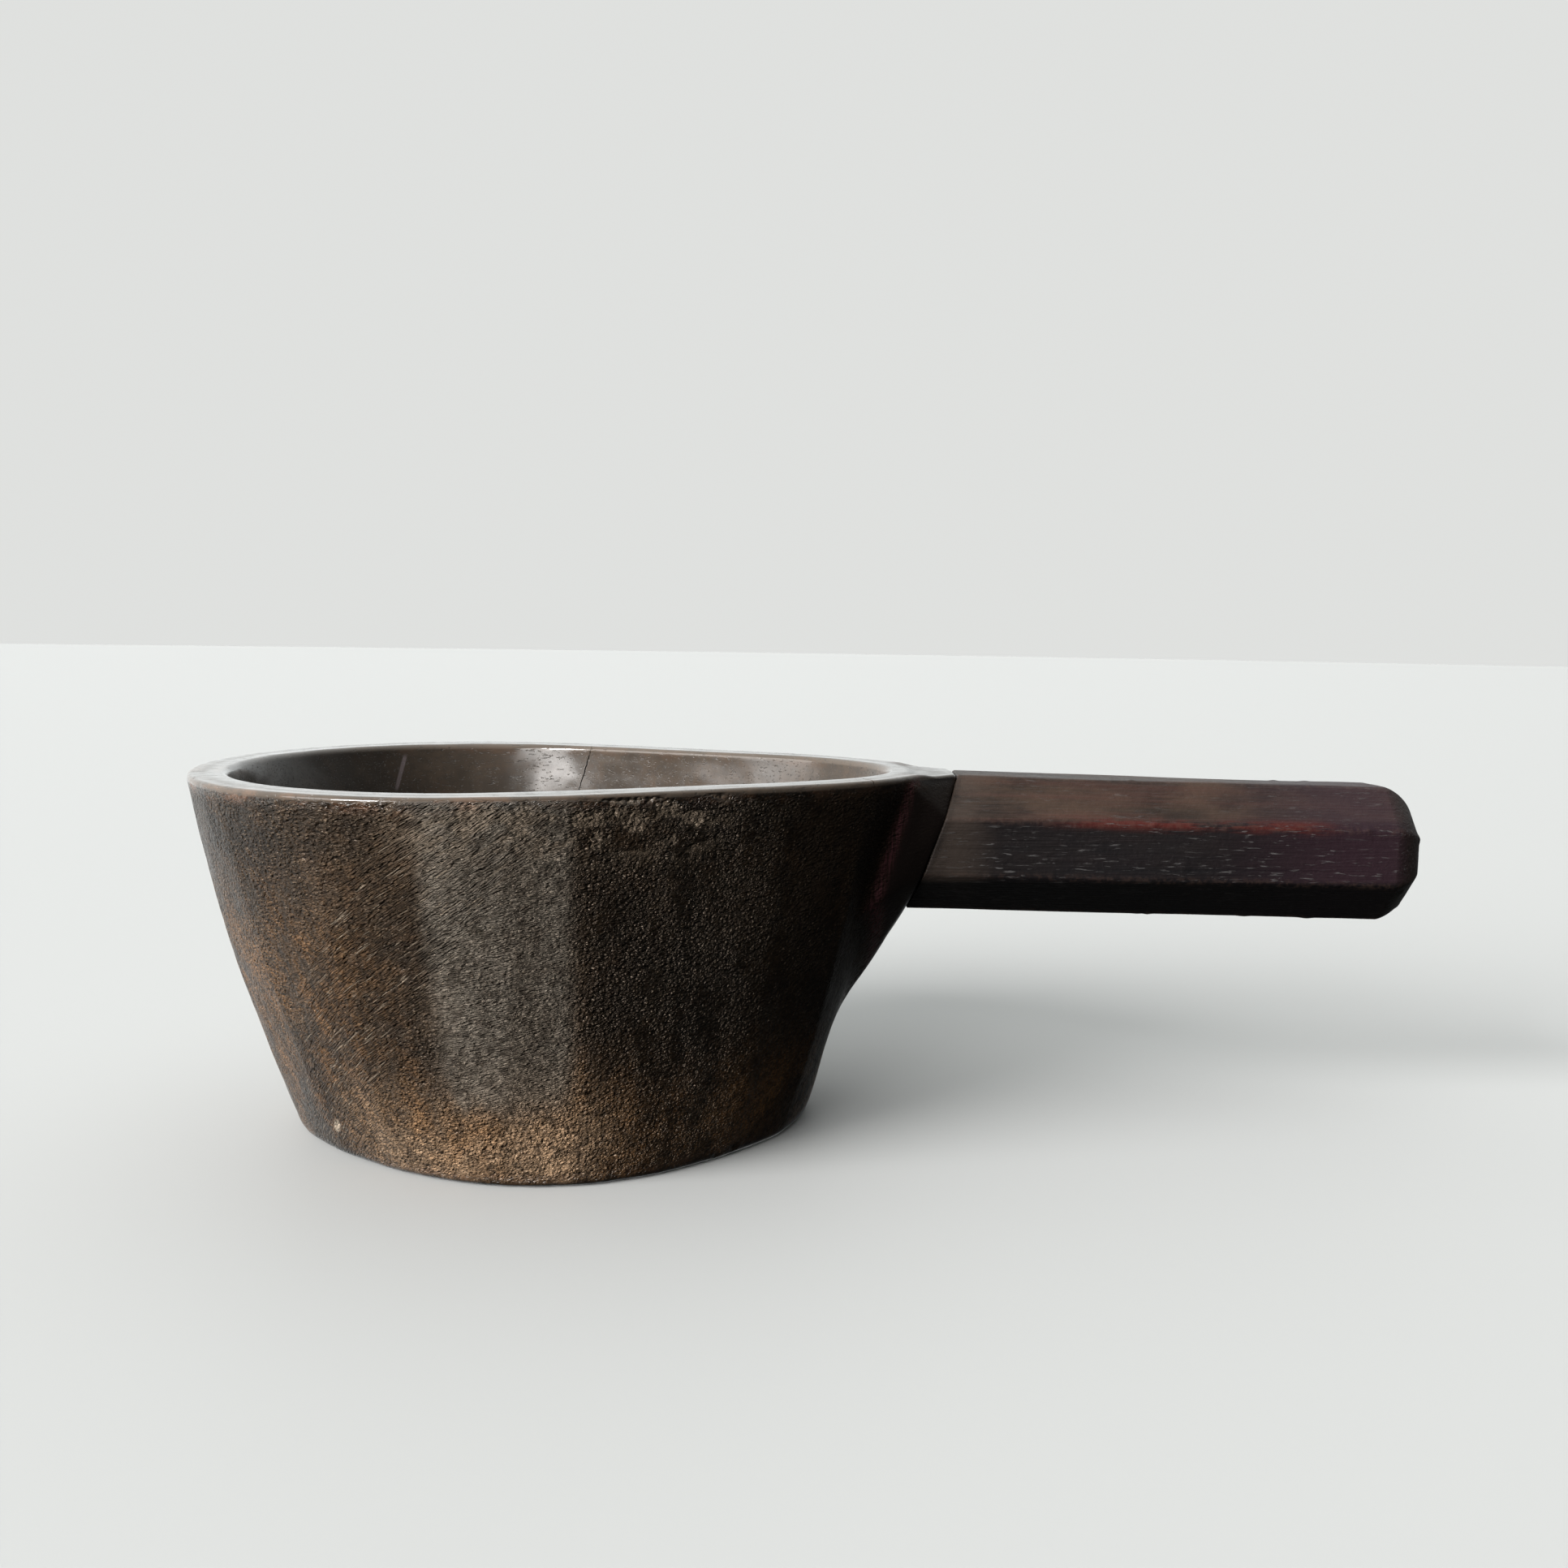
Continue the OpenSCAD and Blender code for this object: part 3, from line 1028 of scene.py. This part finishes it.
def bowl_skin(wood, colour, on, look):
    """Darkens the wall's right with painted shade and darkens its left end, and colours its
    pebbles and marks, with painted shade in the pits and dust and painted glints on the crests.
    """
    wandering = wood.math("ADD", on.around, wood.math("MULTIPLY", look.blotches, 8))
    # Painted shade: the wall's right side is painted darker, and further right darker still.
    shaded = wood.ramp(wandering, -90, -95)
    right = wood.both(shaded, on.front, wood.ramp(on.height, 8, 40, 0.4, 0.85))
    far_right_shade = wood.both(wood.ramp(on.around, -104, -132, 0, 0.8), on.front)
    left_end = wood.both(wood.ramp(wood.away_from(on.around, -10), 48, 32), on.wall)
    colour = wood.darken(colour, right, 0.35)
    colour = wood.darken(colour, far_right_shade, 0.4)
    colour = wood.darken(colour, left_end, 0.74)
    # Painted shade: the pits between the pebbles are painted darker.
    pit_shade = wood.both(wood.ramp(look.pebbles, 0.40, 0.72), look.plain)
    # Pale dust and painted glints on the crests, fewer where shade is painted.
    crest_dust_and_glints = wood.both(look.crest, look.plain, wood.ramp(shaded, 0, 1, 0.5, 0.35))
    colour = wood.darken(colour, wood.part(pit_shade, 0.55), 0.3)
    colour = wood.mix(crest_dust_and_glints, colour, BOWL_CREST_DUST_AND_GLINT)
    # Scuffs with a painted sheen: paler near the rim.
    colour = wood.mix(wood.part(on.scuffed, 0.5), colour, BOWL_SCUFF_SHEEN)
    return wood.mix(wood.part(look.scores, 0.8), colour, BOWL_SCORE)


def bowl_details(wood, colour, on, look):
    """Colours the inside, paints shade on the lug, colours the worn edges, paints a sheen on the
    rim's top, paints shade along the foot, and colours a scratch and a chip.
    """
    carving = wood.ramp(wood.noise((0.7, 0.7, 12), 3, 0.6), 0.42, 0.60, 0.25, 1.0)
    left_lip = wood.ramp(wood.away_from(on.around, -45), 30, 60, 0.5, 0.12)
    worn = wood.both(on.edge, wood.ramp(wood.noise((12, 12, 5), 4, 0.65), 0.46, 0.62), left_lip)
    scratch = wood.near_line((-62.3, 76.4, 104.8), (-65.4, 69.4, 90), 1.1)
    chip = wood.near_line((-61.6, -52.8, 6.8), (-58.2, -55.8, 13.2), 1.7)
    colour = wood.mix(wood.part(on.inside, 0.6), colour, BOWL_INSIDE)
    # Painted shade: the lug is painted near black.
    colour = wood.mix(wood.part(on.lug, 0.9), colour, LUG_PAINTED_SHADE)
    colour = wood.mix(wood.both(on.fillet, carving), colour, LUG_RED)
    colour = wood.mix(worn, colour, BOWL_WORN)
    # Painted sheen: the rim's top is painted paler.
    colour = wood.mix(wood.part(on.rim, 0.5), colour, BOWL_RIM_PAINTED_SHEEN)
    colour = wood.darken(colour, wood.part(look.pores, 0.5), 0.3)
    # Painted shade: the lowest few millimetres of the bowl are painted darker, as shade where it
    # meets the floor.
    colour = wood.darken(colour, wood.ramp(on.z, 0.0012, 0.004, 0.8, 0), 0.25)
    colour = wood.mix(wood.part(scratch, 0.35), colour, BOWL_SCRATCH)
    return wood.mix(chip, colour, BOWL_CHIP)


def bowl_roughness(wood, on, look):
    lip = wood.both(on.edge, on.outside, wood.ramp(on.height, BOWL_H - 5, BOWL_H - 2),
                    wood.ramp(wood.away_from(on.around, -74), 14, 34, 1, 0))
    rough = wood.total((look.mottle, 0.2), (look.patches, 0.15), (look.pores, 0.2),
                       (on.edge, -0.08), (look.bands, -0.2), (on.rim, -0.12),
                       (on.scuffed, 0.06), (on.rubbed, -0.04), (lip, -0.22))
    rough = wood.math("ADD", rough, wood.ramp(on.inside, 0, 1, 0.26, 0.17))
    return wood.math("ADD", rough, wood.both(wood.ramp(on.around, -128, -150, 0, 0.3), on.front))


def bowl_shine(wood, on):
    """Brighter, less tinted reflections on the inside, the rim and the edges."""
    polish = wood.math("MAXIMUM", wood.math("MAXIMUM", on.inside, on.rim), on.edge)
    dull = wood.both(wood.ramp(on.around, -118, -146, 0, 0.6), on.front)
    shine = wood.both(wood.ramp(polish, 0, 1, 0.26, 0.5), wood.spare(dull, 0))
    wood.give("Specular IOR Level", shine)
    wood.give("Specular Tint", wood.mix(polish, (1.0, 0.80, 0.63), (1.0, 0.98, 0.96)))


def bowl_relief(wood, on, look):
    """The height of the pebbled skin, the tool strokes, the scores and the pores."""
    creases = wood.ridges((2.4, 1, 1.0), 2, 0.8, (0, 8, 0), on.unrolled)
    strokes = wood.ridges((6.5, 1, 0.85), 2, 0.4, (0, 34, 0), on.unrolled)
    hairlines = wood.ridges((4.2, 1, 0.6), 1, 0.3, (0, 9, 0), on.unrolled)
    flakes, _ = wood.cells((1.9, 1.9, 1.2), (20, 35, 0))
    broken = wood.ramp(look.blotches, 0.38, 0.58, 0.3, 1)
    leather = wood.total((look.pebbles, -1.2), (creases, 0.6), (look.crest, 0.6))
    leather = wood.both(leather, broken, look.plain, wood.spare(on.edge, 0.25),
                        wood.spare(on.rim, 0.15))
    tooling = wood.total((wood.both(strokes, on.scored, broken), 1.9),
                         (wood.both(flakes, on.scuffed), -2.0),
                         (wood.both(hairlines, on.rubbed), 0.55))
    return wood.total((leather, 1.0), (tooling, 1.0), (look.scores, -0.2), (look.pores, -0.08))


def bowl_wood():
    wood = Wood("bowl_wood")
    on = bowl_places(wood)
    look = bowl_patterns(wood, on)
    colour = bowl_skin(wood, bowl_tones(wood, on, look), on, look)
    wood.give("Base Color", bowl_details(wood, colour, on, look))
    wood.give("Roughness", bowl_roughness(wood, on, look))
    bowl_shine(wood, on)
    wood.relief(bowl_relief(wood, on, look))
    return wood.material


def handle_wood():
    wood = Wood("handle_wood")
    edge, seam, end = wood.mark("edge"), wood.mark("seam"), wood.mark("end")
    front_edge = wood.mark("front_edge")
    x, _, z = wood.xyz()

    grain = wood.noise((120, 4.5, 4.5), 5, 0.62, 0.5)
    fine = wood.noise((22, 0.8, 0.8), 3, 0.6)
    patches = wood.noise((34, 16, 16), 4, 0.62)
    dashes = wood.ramp(wood.noise((5.5, 0.7, 0.7), 3, 0.6, 0.4), 0.58, 0.68)
    dashes = wood.both(dashes, wood.ramp(wood.noise((26, 12, 12), 2), 0.40, 0.56, 0.25, 1))
    rub = wood.noise((1.9, 1.9, 1.9), 4, 0.65)
    # Painted shade: below its top facets the handle is painted near black.
    shade = wood.ramp(z, (AXIS_Z + 6.5) * MM, (AXIS_Z + 10) * MM, 1, 0)
    # Painted shade: the handle's underside is painted darker still.
    under = wood.ramp(z, (AXIS_Z - 12) * MM, (AXIS_Z - 9) * MM, 1, 0)

    colour = wood.mix(wood.ramp(patches, 0.36, 0.64), HANDLE_DARK, HANDLE_BROWN)
    colour = wood.mix(wood.ramp(grain, 0.40, 0.66, 0, 0.5), colour, HANDLE_GRAIN)
    colour = wood.mix(wood.ramp(fine, 0.5, 0.75, 0, 0.3), colour, HANDLE_FINE_GRAIN)
    # Painted shade on the handle's side and lower facets.
    colour = wood.mix(wood.part(shade, 0.9), colour, HANDLE_PAINTED_SHADE)
    shoulder_patch = wood.both(wood.ramp(x, (SHOULDER_X + 2) * MM, (SHOULDER_X + 20) * MM, 0.6, 0),
                               wood.ramp(patches, 0.35, 0.55))
    colour = wood.mix(shoulder_patch, colour, HANDLE_SHOULDER)
    colour = wood.mix(wood.ramp(x, 0.190, 0.245, 0, 0.75), colour, HANDLE_PLUM)
    streak = wood.both(front_edge, wood.ramp(wood.noise((26, 3, 3), 4, 0.65), 0.40, 0.56))
    colour = wood.mix(streak, colour, HANDLE_STREAK)
    # Painted shade on the handle's underside.
    colour = wood.mix(wood.part(under, 0.93), colour, HANDLE_UNDERSIDE_PAINTED_SHADE)
    worn = wood.both(edge, wood.ramp(rub, 0.44, 0.62, 0.0, 0.2))
    colour = wood.mix(worn, colour, HANDLE_WORN)
    colour = wood.mix(wood.part(end, 0.5), colour, HANDLE_END)
    lit = wood.both(dashes, wood.spare(under, 0.05), wood.ramp(shade, 0, 1, 0.2, 0.55))
    colour = wood.mix(lit, colour, HANDLE_DASH)
    colour = wood.darken(colour, wood.part(seam, 0.5), 0.4)
    wood.give("Base Color", colour)

    rough = wood.total((rub, 0.25), (patches, 0.25), (dashes, 0.1), (worn, -0.1))
    wood.give("Roughness", wood.math("ADD", rough, 0.24))
    wood.give("Specular IOR Level", wood.ramp(shade, 0, 1, 0.22, 0.10))
    wood.give("Specular Tint", (1.0, 0.9, 0.86, 1))
    wood.relief(wood.total((fine, 0.25), (dashes, 0.10), (rub, 0.22), (grain, 0.3)))
    return wood.material


def end_grain_wood(name, pale, dark, grain_size):
    """The small hidden pieces: paler wood, with rays and pores on the cut end."""
    wood = Wood(name)
    grain = wood.noise(grain_size, 4, 0.6, 0.3)
    rings = wood.noise((2.4, 2.4, 0.8), 3, 0.6, 1.0)
    pores = wood.ramp(wood.cells((0.45, 0.45, 0.45))[0], 0.18, 0.3, 1, 0)
    stain = wood.ramp(wood.noise((6, 6, 6), 3), 0.4, 0.65)
    colour = wood.mix(wood.ramp(grain, 0.35, 0.65), dark, pale)
    colour = wood.darken(colour, wood.ramp(rings, 0.45, 0.6, 0, 0.5), 0.5)
    colour = wood.darken(colour, stain, 0.45)
    colour = wood.darken(colour, wood.math("MULTIPLY", pores, 0.6), 0.3)
    wood.give("Base Color", colour)
    rough = wood.total((rings, 0.25), (stain, 0.15))
    wood.give("Roughness", wood.math("ADD", rough, 0.35))
    wood.relief(wood.total((pores, -0.08), (grain, 0.12), (rings, 0.06)))
    return wood.material


# ---- object


def dress(piece, material, node):
    piece.data.materials.clear()
    piece.data.materials.append(material)
    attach(piece, "root")
    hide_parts(node)


dress(build_bowl(), bowl_wood(), "bowl")
dress(build_handle(), handle_wood(), "handle")
wedge_material = end_grain_wood("wedge_wood", WEDGE_PALE, WEDGE_DARK, grain_size=(14, 1.2, 1.2))
dress(build_wedge(), wedge_material, "tenon_wedge")
peg_material = end_grain_wood("peg_wood", PEG_PALE, PEG_DARK, grain_size=(1, 1, 12))
dress(build_peg(), peg_material, "tenon_peg")


# ---- stage, light and camera


def pale_floor():
    """A plain floor, which keeps its paleness out to the horizon."""
    bpy.ops.mesh.primitive_circle_add(vertices=96, radius=12, fill_type="NGON")
    floor = bpy.context.object
    floor.name = "floor"
    material = bpy.data.materials.new("pale_floor")
    material.use_nodes = True
    surface = material.node_tree.nodes["Principled BSDF"]
    surface.inputs["Base Color"].default_value = (0.465, 0.465, 0.455, 1)
    surface.inputs["Roughness"].default_value = 0.6
    surface.inputs["Specular IOR Level"].default_value = 0.2
    floor.data.materials.append(material)
    floor.visible_diffuse = False
    floor.visible_glossy = False


def window_light(name, toward, strength, spread, diffuse=True, glossy=True):
    """Soft even light, as from a large window on a given side of the bowl."""
    data = bpy.data.lights.new(name, "SUN")
    data.energy = strength
    data.angle = math.radians(spread)
    light = bpy.data.objects.new(name, data)
    light.rotation_euler = Vector(toward).to_track_quat("Z", "Y").to_euler()
    light.visible_diffuse = diffuse
    light.visible_glossy = glossy
    bpy.context.scene.collection.objects.link(light)


def sky(tree):
    """A dome that is bright behind and above the bowl and dim in front of it and to its
    right, seen by the camera as one plain pale tone."""
    nodes, links = tree.nodes, tree.links
    direction = nodes.new("ShaderNodeTexCoord").outputs["Generated"]
    facing = nodes.new("ShaderNodeVectorMath")
    facing.operation = "DOT_PRODUCT"
    links.new(direction, facing.inputs[0])
    facing.inputs[1].default_value = Vector((-0.5, 0.6, 0.62)).normalized()
    strength = smooth_range(nodes, -0.45, 0.95, 0.03, 1.25)
    links.new(facing.outputs["Value"], strength.inputs["Value"])
    dome = nodes["Background"]
    dome.inputs["Color"].default_value = (0.96, 1.0, 1.0, 1)
    links.new(strength.outputs["Result"], dome.inputs["Strength"])
    plain = nodes.new("ShaderNodeBackground")
    plain.inputs["Color"].default_value = (0.74, 0.75, 0.735, 1)
    choice = nodes.new("ShaderNodeMixShader")
    links.new(nodes.new("ShaderNodeLightPath").outputs["Is Camera Ray"], choice.inputs[0])
    links.new(dome.outputs[0], choice.inputs[1])
    links.new(plain.outputs[0], choice.inputs[2])
    links.new(choice.outputs[0], nodes["World Output"].inputs["Surface"])


def studio():
    world = bpy.data.worlds.new("studio")
    bpy.context.scene.world = world
    world.use_nodes = True
    sky(world.node_tree)
    window_light("window", (-0.80, -0.48, 0.40), 5.8, 34, glossy=False)
    window_light("window_sheen", (-0.80, -0.48, 0.40), 1.2, 34, diffuse=False)
    window_light("window_front", (-0.50, -0.82, 0.30), 1.8, 30)
    window_light("window_front_sheen", (-0.585, -0.715, 0.38), 4.2, 22, diffuse=False)


def camera(place, heading, tip, roll, lens):
    """A camera at a place in millimetres. heading, tip down and roll are in degrees."""
    data = bpy.data.cameras.new("camera")
    data.sensor_width = 36
    data.lens = lens
    data.clip_start = 0.01
    view = bpy.data.objects.new("camera", data)
    turn = (Matrix.Rotation(math.radians(heading), 4, "Z")
            @ Matrix.Rotation(math.radians(90 - tip), 4, "X")
            @ Matrix.Rotation(math.radians(roll), 4, "Z"))
    view.matrix_world = Matrix.Translation(Vector(place) * MM) @ turn
    bpy.context.scene.collection.objects.link(view)
    bpy.context.scene.camera = view


pale_floor()
studio()
camera(place=(34.7, -487.2, 148.2), heading=-3.80, tip=5.45, roll=0.84, lens=36.06)
bpy.context.scene.view_settings.view_transform = "Standard"
